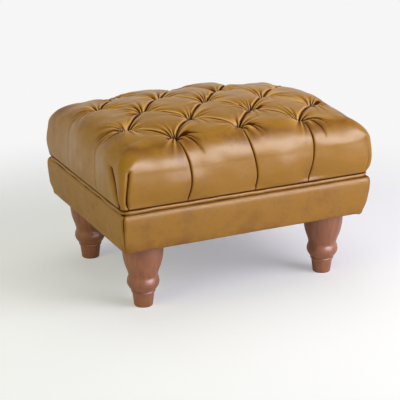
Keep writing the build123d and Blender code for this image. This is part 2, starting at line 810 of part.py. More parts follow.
# Turned legs: tapered foot, ring, bulb, neck and vase, each drilled for its bolt
for place, (side_x, side_y) in corners.items():
    with BuildPart() as leg:
        with BuildSketch(Plane(origin=(side_x*leg_x, side_y*leg_y, 0), x_dir=(1, 0, 0), z_dir=(0, -1, 0))):
            with BuildLine():
                Polyline((0, 0), (foot_radius - foot_edge, 0), (foot_radius, foot_edge),
                         (ring_low_radius, ring_height), (ring_radius, ring_height),
                         (ring_radius, ring_height + ring_thickness))
                ThreePointArc((ring_radius, ring_height + ring_thickness), (bulb_radius, bulb_height),
                              (neck_radius, neck_height))
                ThreePointArc((neck_radius, neck_height), (vase_radius, vase_height), (leg_top_radius, leg_height))
                Polyline((leg_top_radius, leg_height), (0, leg_height), (0, 0))
            make_face()
        revolve(axis=Axis((side_x*leg_x, side_y*leg_y, 0), (0, 0, 1)))
        pins(legs_at, leg_height - bolt_in_leg - snug_gap, leg_height + overrun, bolt_diameter + 2*snug_gap,
             Mode.SUBTRACT)
    leg.part.label = f"leg_{place}"
    export_step(leg.part, f"parts/leg_{place}.step")

with BuildPart() as hanger_bolts:
    pins(legs_at, leg_height - bolt_in_leg, block_top + bolt_above_block, bolt_diameter)
hanger_bolts.part.label = "hanger_bolts"
export_step(hanger_bolts.part, "parts/hanger_bolts.step")

with BuildPart() as leg_nuts:
    pins(legs_at, block_top - nut_barrel_length, block_top, nut_barrel_diameter)
    pins(legs_at, block_top, block_top + nut_flange_thickness, nut_flange_diameter)
    pins(legs_at, leg_height, full_top, bolt_diameter + 2*snug_gap, Mode.SUBTRACT)
leg_nuts.part.label = "leg_nuts"
export_step(leg_nuts.part, "parts/leg_nuts.step")
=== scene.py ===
"""A deep-buttoned leather footstool, dressed over its packed construction model.

Lengths inside the shape functions are millimetres, in the construction model's frame: X along
the stool, Y from front to back, Z up from the floor. Meshes are made in metres.
"""

from math import pi, radians

import bpy
import numpy as np
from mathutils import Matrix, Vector


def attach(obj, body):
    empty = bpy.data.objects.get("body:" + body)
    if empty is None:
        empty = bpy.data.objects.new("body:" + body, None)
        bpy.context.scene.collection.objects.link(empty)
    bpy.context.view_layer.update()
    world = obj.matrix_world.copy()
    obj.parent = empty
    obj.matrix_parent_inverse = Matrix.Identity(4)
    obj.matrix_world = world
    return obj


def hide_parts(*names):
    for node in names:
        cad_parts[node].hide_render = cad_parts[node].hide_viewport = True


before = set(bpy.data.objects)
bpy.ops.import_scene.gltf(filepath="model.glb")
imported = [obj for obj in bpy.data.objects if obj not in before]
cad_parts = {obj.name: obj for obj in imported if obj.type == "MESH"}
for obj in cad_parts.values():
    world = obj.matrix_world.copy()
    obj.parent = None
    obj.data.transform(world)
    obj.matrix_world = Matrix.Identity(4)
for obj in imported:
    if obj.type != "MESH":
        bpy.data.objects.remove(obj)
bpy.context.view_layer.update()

bl_info = {
    "name": "Deep-buttoned Footstool",
    "version": (1, 0, 0),
    "blender": (4, 5, 0),
    "location": "3D View > Sidebar > Footstool",
    "description": "Builds the leather, the turned legs and the finishes of a deep-buttoned footstool",
    "category": "Add Mesh",
}

MM = 0.001

# Buttons and crown, as in the construction model
STEP_X = 76.0
STEP_Y = 84.0
FIELD_X = 3 * STEP_X
FIELD_Y = 2 * STEP_Y
BUTTONS = [(x * STEP_X, y * STEP_Y) for y in (-2, 0, 2) for x in (-2, 0, 2)]
BUTTONS += [(x * STEP_X, y * STEP_Y) for y in (-1, 1) for x in (-3, -1, 1, 3)]
CROWN = 12.0

# Heights of the pad: the middle of its top, the same less its crown, its foot and its underside
TOP = 402.1
EDGE_TOP = TOP - CROWN
PAD_FOOT = 248.2
PAD_UNDERSIDE = 246.0

# Border, legs and cloth, as in the construction model
BORDER_X, BORDER_Y, BORDER_CORNER = 300.0, 230.0, 10.0
LEGS = [(along, across, x, y) for across, x in (("left", -225.0), ("right", 225.0))
        for along, y in (("front", -157.5), ("back", 157.5))]
CLOTH_X, CLOTH_Y = 565.0, 425.0

LOOP_STEP = 2.0
BACKDROP = (0.965, 0.965, 0.965)


# Numbers and fields

def smooth(value):
    """Eased step: 0 below 0, 1 above 1, and 3t² - 2t³ between."""
    t = np.clip(value, 0.0, 1.0)
    return t * t * (3 - 2 * t)


def bell(distance, width, power=2):
    """1 at nought, and 1/e a width away: the exponential of minus the share's power."""
    return np.exp(-(distance / width) ** power)


def cone(distance, reach, power):
    """1 at nought and 0 from the reach outwards, by a power of what is left of the way."""
    return np.clip(1 - distance / reach, 0, 1) ** power


def fuller_end(x):
    """The right end stands 5 mm further out than the left, easing in from 190 to 280 mm."""
    return 5.0 * smooth((x - 190) / 90)


def xyz(x, y, z):
    """Points from arrays of their coordinates, or from numbers where they all share one."""
    return np.stack(np.broadcast_arrays(x, y, z), axis=-1)


def waves(points, length, seed):
    """A smooth uneven field of about -1 to 1: the sum of 16 cosine waves of nearly one length, which
    run through the points in random directions and with random phases, all drawn from the seed."""
    count = 16
    draw = np.random.default_rng(seed)
    heading = draw.normal(size=(count, 3))
    heading /= np.linalg.norm(heading, axis=1, keepdims=True)
    heading *= (2 * pi / (length * draw.uniform(0.7, 1.4, count)))[:, None]
    phase = draw.uniform(0, 2 * pi, count)
    flat = np.cos(points.reshape(-1, 3) @ heading.T + phase).sum(axis=1)
    return (flat / np.sqrt(count)).reshape(points.shape[:-1])


def smooth_line(knots, count):
    """A line through the knots: a Catmull-Rom curve timed by the square roots of its chords, read at
    even steps of its own length. Knots are rows of any number of coordinates."""
    knots = np.asarray(knots, float)
    padded = np.vstack([2 * knots[0] - knots[1], knots, 2 * knots[-1] - knots[-2]])
    at = np.concatenate([[0], np.cumsum(np.sqrt(np.linalg.norm(np.diff(padded, axis=0), axis=1)))])
    pieces = []
    for k in range(1, len(padded) - 2):
        t = np.linspace(at[k], at[k + 1], 60)[:, None]
        p0, p1, p2, p3 = padded[k - 1:k + 3]
        t0, t1, t2, t3 = at[k - 1:k + 3]
        a1 = (t1 - t) / (t1 - t0) * p0 + (t - t0) / (t1 - t0) * p1
        a2 = (t2 - t) / (t2 - t1) * p1 + (t - t1) / (t2 - t1) * p2
        a3 = (t3 - t) / (t3 - t2) * p2 + (t - t2) / (t3 - t2) * p3
        b1 = (t2 - t) / (t2 - t0) * a1 + (t - t0) / (t2 - t0) * a2
        b2 = (t3 - t) / (t3 - t1) * a2 + (t - t1) / (t3 - t1) * a3
        pieces.append((t2 - t) / (t2 - t1) * b1 + (t - t1) / (t2 - t1) * b2)
    return even_steps(np.vstack(pieces), count)


def even_steps(line, count):
    """The same line, as count points at even steps of its length."""
    run = np.concatenate([[0], np.cumsum(np.linalg.norm(np.diff(line, axis=0), axis=1))])
    at = np.linspace(0, run[-1], count)
    return np.stack([np.interp(at, run, line[:, k]) for k in range(line.shape[1])], axis=1)


def rounded_loop(half_x, half_y, radius):
    """A rounded rectangle in plan, from the middle of its front side and anticlockwise seen from
    above: points at even steps, their outward directions, and the whole length."""
    corners = []
    for sign_x, sign_y, start in ((1, -1, -90), (1, 1, 0), (-1, 1, 90), (-1, -1, 180)):
        turn = np.radians(np.linspace(start, start + 90, 24))
        middle = np.array([sign_x * (half_x - radius), sign_y * (half_y - radius)])
        corners.append(middle + radius * np.stack([np.cos(turn), np.sin(turn)], axis=1))
    line = np.vstack([[[0, -half_y]], *corners, [[0, -half_y]]])
    length = np.linalg.norm(np.diff(line, axis=0), axis=1).sum()
    points = even_steps(line, int(length / LOOP_STEP) + 1)[:-1]
    ahead = np.roll(points, -1, axis=0) - np.roll(points, 1, axis=0)
    ahead /= np.linalg.norm(ahead, axis=1, keepdims=True)
    return points, np.stack([ahead[:, 1], -ahead[:, 0]], axis=1), length


# Meshes

def grid_faces(rows, columns, wrap_rows=False, wrap_columns=False):
    """Quads between neighbouring points of a grid that is numbered row by row."""
    i, j = np.meshgrid(np.arange(rows if wrap_rows else rows - 1),
                       np.arange(columns if wrap_columns else columns - 1), indexing="ij")
    i, j = i.ravel(), j.ravel()
    down, along = (i + 1) % rows, (j + 1) % columns
    return np.stack([i * columns + j, down * columns + j, down * columns + along, i * columns + along],
                    axis=1)


def fan_faces(rim, centre):
    """Triangles from each step of a rim to one centre point."""
    return np.stack([rim, np.roll(rim, -1), np.full(len(rim), centre)], axis=1)


def capped(rings, first_centre, last_centre):
    """Rings of points closed at each end by a fan: all the points, and their groups of faces."""
    count, around = rings.shape[:2]
    rim = np.arange(around)
    fans = np.concatenate([fan_faces(rim, count * around),
                           fan_faces(rim[::-1] + (count - 1) * around, count * around + 1)])
    points = np.vstack([rings.reshape(-1, 3), [first_centre, last_centre]])
    return points, [grid_faces(count, around, wrap_columns=True), fans]


def enclosed(points, faces):
    """Signed volume inside the faces: the sum of the tetrahedra from the origin to each triangle."""
    total = 0.0
    for corner in range(1, faces.shape[1] - 1):
        a, b, c = points[faces[:, 0]], points[faces[:, corner]], points[faces[:, corner + 1]]
        total += np.einsum("ij,ij->i", a, np.cross(b, c)).sum() / 6
    return total


def make_piece(name, points, groups, material, attributes=None, closed=True):
    """A mesh object from points in millimetres, groups of faces and the name of its material. The
    faces of a closed piece are turned outwards."""
    points = np.asarray(points, float).reshape(-1, 3)
    if closed and sum(enclosed(points, faces) for faces in groups) < 0:
        groups = [faces[:, ::-1] for faces in groups]
    corners = np.concatenate([faces.ravel() for faces in groups]).astype(np.int32)
    sizes = np.concatenate([np.full(len(faces), faces.shape[1]) for faces in groups])
    starts = np.concatenate([[0], np.cumsum(sizes)[:-1]]).astype(np.int32)
    mesh = bpy.data.meshes.new(name)
    mesh.vertices.add(len(points))
    mesh.vertices.foreach_set("co", (points * MM).astype(np.float32).ravel())
    mesh.loops.add(len(corners))
    mesh.loops.foreach_set("vertex_index", corners)
    mesh.polygons.add(len(sizes))
    mesh.polygons.foreach_set("loop_start", starts)
    mesh.polygons.foreach_set("use_smooth", np.ones(len(sizes), bool))
    mesh.update(calc_edges=True)
    for label, values in (attributes or {}).items():
        layer = mesh.attributes.new(label, "FLOAT", "POINT")
        layer.data.foreach_set("value", np.asarray(values, np.float32).ravel())
    mesh.materials.append(bpy.data.materials[material])
    piece = bpy.data.objects.new(name, mesh)
    bpy.context.scene.collection.objects.link(piece)
    return piece


def settle(piece, slot, *nodes):
    """The piece rides on the stool and stands for these nodes, which are hidden. The slot is not used.
    """
    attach(piece, "root")
    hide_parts(*nodes)


# Shader maths

def linear(colour):
    """A screen colour from 0 to 1 as linear light."""
    return tuple(c / 12.92 if c <= 0.04045 else ((c + 0.055) / 1.055) ** 2.4 for c in colour[:3])


class Signal:
    """One number of a material, with arithmetic that adds Math nodes."""

    def __init__(self, finish, socket):
        self.finish = finish
        self.socket = socket

    def combine(self, operation, first, second):
        node = self.finish.node("ShaderNodeMath", {"operation": operation}, {0: first, 1: second})
        return Signal(self.finish, node.outputs[0])

    def __add__(self, other):
        return self.combine("ADD", self, other)

    def __sub__(self, other):
        return self.combine("SUBTRACT", self, other)

    def __rsub__(self, other):
        return self.combine("SUBTRACT", other, self)

    def __mul__(self, other):
        return self.combine("MULTIPLY", self, other)

    __radd__ = __add__
    __rmul__ = __mul__

    def at_most(self, other):
        return self.combine("MINIMUM", self, other)

    def between(self, low, high, at_low=0.0, at_high=1.0):
        """The value at_low below low, at_high above high, eased between."""
        node = self.finish.node("ShaderNodeMapRange", {"interpolation_type": "SMOOTHSTEP"},
                                {"Value": self, "From Min": low, "From Max": high,
                                 "To Min": at_low, "To Max": at_high})
        return Signal(self.finish, node.outputs["Result"])


class Finish:
    """The nodes of a procedural material, or of the world."""

    def __init__(self, name, store="materials"):
        self.block = getattr(bpy.data, store).new(name)
        self.block.use_nodes = True
        self.tree = self.block.node_tree
        self.tree.nodes.clear()
        self.coordinates = self.node("ShaderNodeTexCoord")
        self.place = self.coordinates.outputs["Object"]

    def node(self, kind, settings=None, values=None):
        """A node of this kind: settings are set first, then the values or links of its sockets."""
        made = self.tree.nodes.new(kind)
        for label, value in (settings or {}).items():
            setattr(made, label, value)
        for label, value in (values or {}).items():
            if isinstance(value, Signal):
                value = value.socket
            if isinstance(value, bpy.types.NodeSocket):
                self.tree.links.new(value, made.inputs[label])
            else:
                made.inputs[label].default_value = value
        return made

    def stretched(self, scale):
        """The place on the piece, with each axis scaled."""
        made = self.node("ShaderNodeMapping", None, {"Vector": self.place, "Scale": scale})
        return made.outputs["Vector"]

    def noise(self, scale, detail, roughness=0.5, place=None, distortion=0.0):
        made = self.node("ShaderNodeTexNoise", None, {
            "Vector": place or self.place, "Scale": scale, "Detail": detail, "Roughness": roughness,
            "Distortion": distortion})
        return Signal(self, made.outputs["Fac"])

    def cells(self, scale):
        """The distance to the nearest edge between cells."""
        made = self.node("ShaderNodeTexVoronoi", {"feature": "DISTANCE_TO_EDGE"},
                         {"Vector": self.place, "Scale": scale})
        return Signal(self, made.outputs["Distance"])

    def attribute(self, name):
        return Signal(self, self.node("ShaderNodeAttribute", {"attribute_name": name}).outputs["Fac"])

    def mix(self, share, first, second):
        """Colour that goes from first to second as share goes from 0 to 1."""
        made = self.node("ShaderNodeMix", {"data_type": "RGBA"})
        factor, colour_a, colour_b = (made.inputs[k] for k in (0, 6, 7))
        self.fill(factor, share)
        self.fill(colour_a, first)
        self.fill(colour_b, second)
        return made.outputs[2]

    def fill(self, socket, value):
        """Puts a link, a screen colour or a number into a socket."""
        if isinstance(value, Signal):
            value = value.socket
        if isinstance(value, bpy.types.NodeSocket):
            self.tree.links.new(value, socket)
        elif isinstance(value, tuple):
            socket.default_value = (*linear(value), 1)
        else:
            socket.default_value = value

    def bump(self, height, distance, strength):
        made = self.node("ShaderNodeBump", None,
                         {"Height": height, "Distance": distance, "Strength": strength})
        return made.outputs["Normal"]

    def blend(self, share, first, second):
        """Shader that goes from first to second as share goes from 0 to 1."""
        return self.node("ShaderNodeMixShader", None, {0: share, 1: first, 2: second}).outputs[0]

    def surface(self, colour, roughness, normal, fixed, dull_shade=None, shade_colour=None):
        """Joins the surface shader. Fixed values are the same all over the piece. Where the shade
        share is 1 the surface is a plain diffuse shade colour: painted shade."""
        shader = self.node("ShaderNodeBsdfPrincipled")
        self.fill(shader.inputs["Base Color"], colour)
        self.fill(shader.inputs["Roughness"], roughness)
        if normal is not None:
            self.fill(shader.inputs["Normal"], normal)
        for label, value in fixed.items():
            shader.inputs[label].default_value = value
        last = shader.outputs[0]
        if dull_shade is not None:
            matt_shade = self.node("ShaderNodeBsdfDiffuse")
            self.fill(matt_shade.inputs["Color"], shade_colour)
            last = self.blend(dull_shade, last, matt_shade.outputs[0])
        self.node("ShaderNodeOutputMaterial", None, {"Surface": last})
        return self.block


# Painted highlight: the pale colour on the lips of folds, standing in for light catching them
LIP_HIGHLIGHT_COLOUR = (0.93, 0.71, 0.42)
# Painted shade: the colours that stand in for shade in creases, and a darker one where they are deepest
CREASE_SHADE_COLOUR = (0.36, 0.12, 0.0)
CREASE_DEEP_SHADE_COLOUR = (0.30, 0.13, 0.0)


def leather_finish(name, tan, burnish_and_shade, pale, mottle, least_rough):
    """Waxed leather: a tan that is darker in folds, partly burnish and partly painted shade, paler
    where it is stretched, with a painted highlight on lips and painted shade, dark brown and without
    gloss, in its creases, with clouds of colour as strong as mottle and a faint grain."""
    finish = Finish(name)
    fold_and_shade = finish.attribute("fold_and_shade")
    crease_and_shade = finish.attribute("crease_and_shade")
    lip_highlight = finish.attribute("lip_highlight")
    cloud = finish.noise(9.0, 3.0, 0.55)
    drift = finish.noise(30.0, 3.0, 0.58)
    fleck = finish.noise(120.0, 3.0, 0.7)
    # Darker where the fold mark is high: burnish in the folds, and painted shade there and on the other
    # marked places
    deep = (fold_and_shade + (cloud - 0.5) * (1.5 * mottle) + (drift - 0.5) * (1.6 * mottle)).between(0.0, 0.95)
    stretched = ((1 - fold_and_shade) * 0.8 + (drift - 0.5) * (1.5 * mottle)).between(0.35, 1.2)
    colour = finish.mix(deep * 0.9, tan, burnish_and_shade)
    colour = finish.mix(stretched * 0.35, colour, pale)
    colour = finish.mix(fleck.between(0.45, 0.8) * (0.18 * mottle), colour, burnish_and_shade)
    # A painted highlight on the lips
    colour = finish.mix(lip_highlight * 0.85, colour, LIP_HIGHLIGHT_COLOUR)
    # Painted shade in the creases
    colour = finish.mix(crease_and_shade.between(0.05, 0.6) * 0.85, colour, CREASE_SHADE_COLOUR)
    pebble = finish.cells(950.0)
    wrinkle = finish.noise(260.0, 3.0, 0.6, finish.stretched((1.0, 1.0, 0.55)))
    normal = finish.bump(pebble.between(0.0, 0.35) * 0.5 + wrinkle, 0.00012, 0.55)
    roughness = least_rough + drift * 0.24 + fleck * 0.08 + fold_and_shade * 0.08 + crease_and_shade * 0.3
    # In deep creases a dark brown without gloss is blended in: painted shade
    return finish.surface(colour, roughness, normal, {"Specular IOR Level": 0.3},
                          crease_and_shade.between(0.3, 0.85) * 0.95, CREASE_DEEP_SHADE_COLOUR)


def plain_finish(name, dark, light, roughness, scale, grain=0.0, metallic=0.0):
    """A fine mottled finish between two colours, with its pattern stretched by scale."""
    finish = Finish(name)
    place = finish.stretched(scale)
    mottle = finish.noise(1.0, 5.0, 0.6, place, 0.4)
    normal = finish.bump(mottle, grain, 1.0) if grain else None
    return finish.surface(finish.mix(mottle.between(0.25, 0.75), dark, light),
                          roughness + mottle * 0.1, normal, {"Metallic": metallic})


def leg_finish(colour):
    """Lacquered beech stained red-brown, with its grain running up the leg."""
    finish = Finish("leg_lacquer")
    grain = finish.noise(1.0, 4.0, 0.6, finish.stretched((120.0, 120.0, 9.0)), 0.6)
    pores = finish.noise(1.0, 2.0, 0.5, finish.stretched((1500.0, 1500.0, 60.0)))
    tone = finish.noise(16.0, 2.0)
    dark = tuple(c * 0.84 for c in colour)
    wood = finish.mix((grain * 0.9 + tone * 0.3).between(0.35, 0.8), dark, colour)
    wood = finish.mix(pores.between(0.62, 0.75) * 0.25, wood, tuple(c * 0.5 for c in colour))
    return finish.surface(wood, 0.36 + grain * 0.1, finish.bump(grain, 0.0001, 0.3),
                          {"Coat Weight": 0.15, "Coat Roughness": 0.3})


# The tufted pad

def face_profile(reach, shoulder, bulge, foot_tuck, hollow, rings):
    """One face of the pad in section: a quarter superellipse of power 2.25 over the shoulder that
    starts with the crown's own slope, a bowed face, a little hollow above and drawn in at the
    piping, and a turn under it. Gives the outward distance, the height and the length so far at
    each ring."""
    squareness, crown_slope = 2.25, 0.12
    angle = np.linspace(0, pi / 2, 160)
    out = reach * np.sin(angle) ** (2 / squareness)
    height = shoulder + (EDGE_TOP - shoulder) * np.cos(angle) ** (2 / squareness)
    height -= crown_slope * out * np.cos(angle)
    low = np.linspace(shoulder, PAD_FOOT, 80)[1:]
    face = reach + 1.0 - foot_tuck * np.clip((bulge - low) / (bulge - PAD_FOOT), 0, 1) ** 2
    face -= np.clip((low - bulge) / (shoulder - bulge), 0, 1) ** 2
    line = np.stack([np.concatenate([out, face]), np.concatenate([height, low])], axis=1)
    line[:, 0] -= hollow * smooth((line[:, 1] - 293) / 55) * smooth(line[:, 0] / reach)
    under = [[line[-1, 0] - back, high] for back, high in
             ((1.0, PAD_UNDERSIDE + 0.6), (3.0, PAD_UNDERSIDE), (10.0, PAD_UNDERSIDE))]
    line = even_steps(np.vstack([line, under]), rings + 1)
    run = np.concatenate([[0], np.cumsum(np.linalg.norm(np.diff(line, axis=0), axis=1))])
    return line[:, 0], line[:, 1], run


def gathered(step):
    """Grid lines in cells: closer near whole numbers, where the buttons are, by a sine."""
    return step - 0.4 * np.sin(2 * pi * step) / (2 * pi)


def pad_base(per, rings):
    """The pad without its tufts, as a grid. Inside the field of buttons a point is its own place in
    plan, lifted to a crown that falls with the square of x and y. Around it each ring follows the
    profile of the front or the end, and at a corner it is shared out along a rounded corner.
    Gives the points, their place on the pad rolled out flat, their ring, and how far along the ring
    they are from the middle of the corner, counted towards the end."""
    in_x, in_y = 3 * per, 2 * per
    i, j = np.meshgrid(np.arange(-in_x - rings, in_x + rings + 1),
                       np.arange(-in_y - rings, in_y + rings + 1), indexing="ij")
    a = np.maximum(np.abs(i) - in_x, 0)
    b = np.maximum(np.abs(j) - in_y, 0)
    ring = np.maximum(a, b)
    sign_x, sign_y = np.sign(i), np.sign(j)
    field_x = gathered(np.clip(i, -in_x, in_x) / per) * STEP_X
    field_y = gathered(np.clip(j, -in_y, in_y) / per) * STEP_Y
    front_out, front_high, front_run = face_profile(62.3, 321.0, 289.0, 7.5, 2.4, rings)
    end_out, end_high, end_run = face_profile(75.0, 322.0, 286.0, 5.4, 0.6, rings)
    share = ring / rings
    half_x = FIELD_X + end_out[ring]
    half_y = FIELD_Y + front_out[ring]
    radius = (0.66 - 0.44 * smooth(share * 1.2)) * np.minimum(end_out, front_out)[ring]
    turn = np.where(b >= a, a / np.maximum(ring, 1), 2 - b / np.maximum(ring, 1))
    straight_1 = np.maximum(half_x - radius - FIELD_X, 0)
    straight_2 = np.maximum(half_y - radius - FIELD_Y, 0)
    reach_1 = straight_1 + radius * pi / 4
    reach_2 = straight_2 + radius * pi / 4
    along_1 = turn * reach_1
    along_2 = (2 - turn) * reach_2
    safe = np.maximum(radius, 1e-6)
    angle_1 = np.clip(along_1 - straight_1, 0, None) / safe
    angle_2 = np.clip(along_2 - straight_2, 0, None) / safe
    first = turn <= 1
    corner_x = np.where(first, FIELD_X + np.minimum(along_1, straight_1) + radius * np.sin(angle_1),
                        half_x - radius * (1 - np.cos(angle_2)))
    corner_y = np.where(first, half_y - radius * (1 - np.cos(angle_1)),
                        FIELD_Y + np.minimum(along_2, straight_2) + radius * np.sin(angle_2))
    x = np.where((a > 0) & (b > 0), sign_x * corner_x, np.where(a > 0, sign_x * half_x, field_x))
    y = np.where((a > 0) & (b > 0), sign_y * corner_y, np.where(b > 0, sign_y * half_y, field_y))
    endward = smooth(np.where(ring > 0, turn, 0) / 2)
    high = (1 - endward) * front_high[ring] + endward * end_high[ring]
    fall = CROWN * (field_x / FIELD_X) ** 2 + CROWN * (field_y / FIELD_Y) ** 2
    level_rim = 328.0
    edge = np.clip((high - level_rim) / (EDGE_TOP - level_rim), 0, 1)
    z = np.where(ring == 0, TOP - fall, high + (TOP - fall - EDGE_TOP) * edge)
    run = (1 - endward) * front_run[ring] + endward * end_run[ring]
    flat_x = field_x + sign_x * run * a / np.maximum(ring, 1)
    flat_y = field_y + sign_y * run * b / np.maximum(ring, 1)
    round_corner = np.where(first, -(1 - turn) * reach_1, (turn - 1) * reach_2)
    round_corner = np.where(a == 0, -(reach_1 + FIELD_X - np.abs(field_x)), round_corner)
    round_corner = np.where((b == 0) & (a > 0), reach_2 + FIELD_Y - np.abs(field_y), round_corner)
    return xyz(x, y, z), flat_x, flat_y, ring, round_corner


def outward(points):
    """Unit normals of a grid of points, from its steps along both ways."""
    normal = np.cross(np.gradient(points, axis=0), np.gradient(points, axis=1))
    return normal / np.maximum(np.linalg.norm(normal, axis=-1, keepdims=True), 1e-9)


FOLDS = [((x, y), (x + sx * STEP_X, y + sy * STEP_Y))
         for x, y in BUTTONS if abs(y) != STEP_Y for sx in (-1, 1) for sy in (-1, 1)
         if abs(y + sy * STEP_Y) <= FIELD_Y and abs(x + sx * STEP_X) <= FIELD_X]


def tuft_depth(flat_x, flat_y, high, round_corner, depth):
    """How far the leather is drawn in, on the pad rolled out flat. Each fold between two buttons is
    deepest at its ends, with a steep side near the fold and a gentle one further out. The folds, and
    the pleats that run down the faces from the outer buttons, are joined by a high-power mean, so
    that puffs meet in a crease. Two darts stand beside each front corner, faint on the right of the
    front, and one on the face beside each back corner. Gives the broad depth, the narrow crease from
    0 to 1, which also marks painted shade along the folds, pleats and darts and in each button's pit,
    the height of the lap on the far side of each fold, and a painted highlight on the lip of that lap."""
    power = 7.0
    end_depth = depth - 6.0
    mid_depth = 6.5
    total, crease_and_shade, lap, lip_highlight = (np.zeros_like(flat_x) for _ in range(4))
    for (x0, y0), (x1, y1) in FOLDS:
        run_x, run_y = x1 - x0, y1 - y0
        length = np.hypot(run_x, run_y)
        t = np.clip(((flat_x - x0) * run_x + (flat_y - y0) * run_y) / length ** 2, 0, 1)
        away = np.hypot(flat_x - x0 - t * run_x, flat_y - y0 - t * run_y)
        side = ((flat_y - y0) * run_x - (flat_x - x0) * run_y) / length * np.sign(run_x)
        toward_end = np.abs(2 * t - 1) ** 2.3
        deep = mid_depth + (end_depth - mid_depth) * toward_end
        far_side = smooth(side / 4 + 0.5)
        near = 14.0 + 16.0 * toward_end + 12.0 * far_side * (1 - toward_end)
        broad = 0.18 + 0.27 * far_side
        drawn = deep * ((1 - broad) * cone(away, near, 2.1) + broad * cone(away, 54.0, 2))
        total += drawn ** power
        shift = 2.6 * (1 - toward_end)
        from_crease = np.where(away < 6, np.abs(side - shift), away)
        # The crease also marks a dark line of painted shade
        crease_and_shade = np.maximum(crease_and_shade, bell(from_crease, 1.3, 1) * (away < 12))
        lap = np.maximum(lap, 3.0 * (1 - toward_end) * bell(np.clip(side - 3.2, 0, None), 6.0, 1)
                         * smooth((side - 1.2) / 2.0) * (away < 40))
        # A painted highlight on the lip of the lap, between the buttons
        between_buttons = smooth(t / 0.12) * smooth((1 - t) / 0.12)
        lip_highlight = np.maximum(lip_highlight, bell(side - 5.6, 1.8) * (away < 8) * between_buttons)
    for x0, y0 in BUTTONS:
        if abs(y0) == FIELD_Y:
            past, aside = flat_y * np.sign(y0) - FIELD_Y, np.abs(flat_x - x0)
            foot, sharp = 2.3, 1.0
        elif abs(x0) == FIELD_X:
            past, aside = flat_x * np.sign(x0) - FIELD_X, np.abs(flat_y - y0)
            foot, sharp = 2.5, 0.12 + 0.6 * bell(np.clip(past, 0, None), 22.0)
        else:
            continue
        beyond = past > -1
        past = np.clip(past, 0, None)
        deep = foot + (end_depth - foot) * bell(past, 24.0, 1.4)
        wide = 6.5 + 20.0 * bell(past, 24.0)
        pleat = deep * (0.6 * cone(aside, wide, 2.1) + 0.4 * cone(aside, wide * 1.3, 2))
        dip = 2.6 * smooth(past / 40) * cone(aside, 62.0, 1.3)
        total += np.where(beyond, pleat ** power, 0)
        total += np.where(beyond, dip ** power, 0)
        # The pleat's crease also marks a dark line of painted shade
        crease_and_shade = np.maximum(crease_and_shade, np.where(beyond, sharp * bell(aside, 1.2, 1), 0))
    total = np.minimum(total ** (1 / power), end_depth + 0.5)
    low = smooth((338.0 - high) / 9.0)
    face_share = np.where((flat_x > 0) & (flat_y < 0), 0.25, 1.0)
    end_share = flat_y < 0
    # Each dart's crease also marks a dark line of painted shade
    for top, swing, width, share in ((-13.6, 0.6, 1.5, face_share), (50.0, -41.0, 5.0, end_share)):
        dart = top + swing * np.clip((332.0 - high) / 84.0, 0, 1)
        aside = np.abs(round_corner - dart)
        crease_and_shade = np.maximum(crease_and_shade, share * low * bell(aside, width, 1))
        total = np.maximum(total, share * low * 5.0 * cone(aside, 5 + 3 * width, 2))
    # Each button's pit is drawn in further and marked dark with painted shade
    for x0, y0 in BUTTONS:
        away = np.hypot(flat_x - x0, flat_y - y0)
        total += 9.0 * (1 - smooth((away - 6.0) / 7.5))
        crease_and_shade = np.maximum(crease_and_shade, 1 - smooth((away - 6.5) / 6.5))
    return total, crease_and_shade, lap, lip_highlight


def gathers(flat_x, flat_y, seed):
    """Small pleats that run out from each button: creases where a folded sine of the angle is
    nought, strongest a little outside the button, and uneven in angle, length and depth. Gives the
    depth, and the ridges between the creases from 0 to 1, which carry a painted highlight."""
    draw = np.random.default_rng(seed)
    total = np.zeros_like(flat_x)
    ridge_highlight = np.zeros_like(flat_x)
    for x0, y0 in BUTTONS:
        away = np.hypot(flat_x - x0, flat_y - y0)
        angle = np.arctan2(flat_y - y0, flat_x - x0)
        count = draw.integers(11, 15)
        phase = draw.uniform(0, 2 * pi, 4)
        uneven = angle + 0.22 * np.sin(2 * angle + phase[0]) + 0.12 * np.sin(5 * angle + phase[1])
        folded = 1 - np.abs(np.sin(count * uneven / 2 + phase[2])) ** 1.15
        length = 25.0 + 8.0 * np.sin(3 * angle + phase[3])
        held = smooth((away - 7.0) / 6.0) * bell(np.clip(away - 9.0, 0, None), length, 1.5)
        total += 6.2 * folded * held
        # The ridges between the creases carry a painted highlight
        ridge_highlight = np.maximum(ridge_highlight, held * smooth((0.3 - folded) / 0.28))
    return total, ridge_highlight


# Slack creases from an outer button: how far each runs sideways and outwards, and its depth
FACE_SLACK = ((42.0, 60.0, 5.2), (50.0, 48.0, 4.8), (54.0, 30.0, 3.8), (-20.0, 28.0, 1.8))
END_SLACK = ((62.0, 13.0, 3.2), (66.0, -9.0, 3.0), (46.0, 24.0, 2.2), (44.0, -22.0, 1.8))


